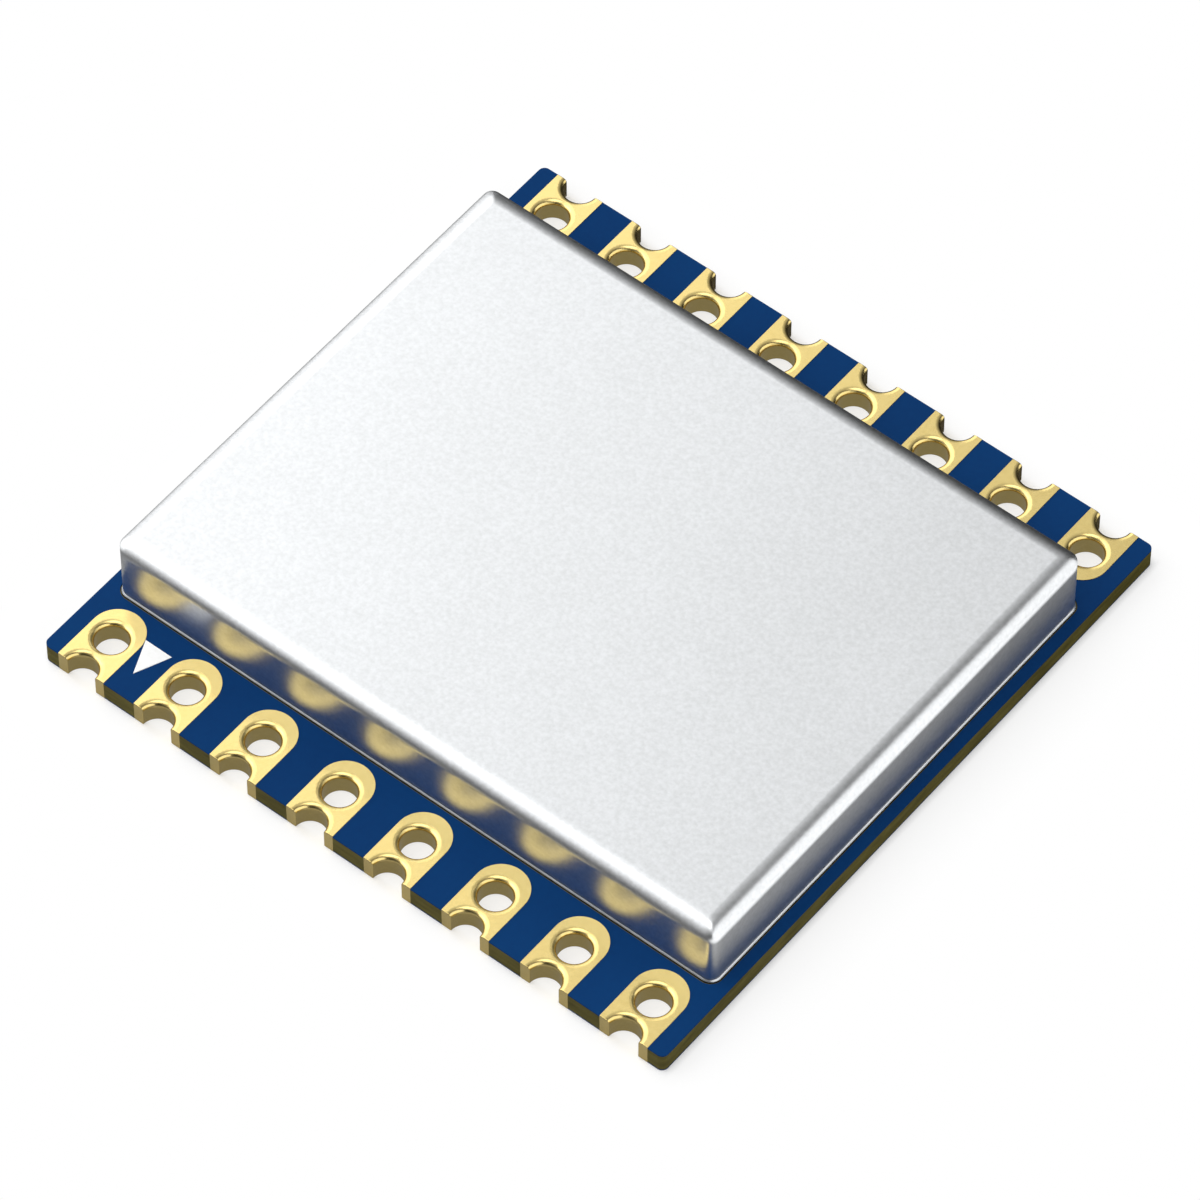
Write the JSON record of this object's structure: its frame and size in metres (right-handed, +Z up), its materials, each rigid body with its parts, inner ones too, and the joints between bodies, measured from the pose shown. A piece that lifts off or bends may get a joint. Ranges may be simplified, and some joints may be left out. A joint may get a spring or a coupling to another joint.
{
  "type": "radio transceiver module",
  "caption": "Square surface-mount radio module: a thin circuit board with castellated gold pads along two edges, under a soldered sheet metal shield can.",
  "frame": {"origin": "centre of the board, in the plane of the bottom lands", "axes": "+X along the pad rows, away from pad 1; +Y from the front row (pads 1 to 8) to the back row; +Z up through the can"},
  "size_m": [0.016, 0.016, 0.0022],
  "materials": {
    "glass_laminate": "routed glass epoxy",
    "blue_solder_mask": "smooth cured mask",
    "white_ink": "printed",
    "gold_plate": "immersion gold",
    "solder": "reflowed",
    "can_sheet": "satin plated sheet",
    "moulding_compound": "moulded",
    "tinned_leads": "tin plated",
    "dark_ceramic": "fired",
    "crystal_metal": "plated",
    "capacitor_ceramic": "fired",
    "inductor_ceramic": "fired",
    "resistor_glaze": "glazed"
  },
  "bodies": {
    "root": {"laminate_core": "glass_laminate", "top_solder_mask": "blue_solder_mask", "bottom_solder_mask": "blue_solder_mask", "pin_one_mark": "white_ink", "castellated_pad_01": "gold_plate", "castellated_pad_02": "gold_plate", "castellated_pad_03": "gold_plate", "castellated_pad_04": "gold_plate", "castellated_pad_05": "gold_plate", "castellated_pad_06": "gold_plate", "castellated_pad_07": "gold_plate", "castellated_pad_08": "gold_plate", "castellated_pad_09": "gold_plate", "castellated_pad_10": "gold_plate", "castellated_pad_11": "gold_plate", "castellated_pad_12": "gold_plate", "castellated_pad_13": "gold_plate", "castellated_pad_14": "gold_plate", "castellated_pad_15": "gold_plate", "castellated_pad_16": "gold_plate", "shield_ground_land": "gold_plate", "shield_solder_seam": "solder", "shield_can": "can_sheet", "component_lands": "gold_plate", "transceiver_chip": "moulding_compound", "transceiver_leads": "tinned_leads", "transceiver_ground_pad": "tinned_leads", "crystal_base": "dark_ceramic", "crystal_lid": "crystal_metal", "antenna_switch": "moulding_compound", "antenna_switch_leads": "tinned_leads", "capacitor_01": "capacitor_ceramic", "capacitor_02": "capacitor_ceramic", "capacitor_03": "capacitor_ceramic", "capacitor_04": "capacitor_ceramic", "capacitor_05": "capacitor_ceramic", "capacitor_06": "capacitor_ceramic", "capacitor_07": "capacitor_ceramic", "capacitor_08": "capacitor_ceramic", "inductor_01": "inductor_ceramic", "inductor_02": "inductor_ceramic", "inductor_03": "inductor_ceramic", "inductor_04": "inductor_ceramic", "resistor_01": "resistor_glaze", "resistor_02": "resistor_glaze", "resistor_03": "resistor_glaze", "resistor_04": "resistor_glaze", "passive_end_caps": "tinned_leads"}
  },
  "joints": []
}
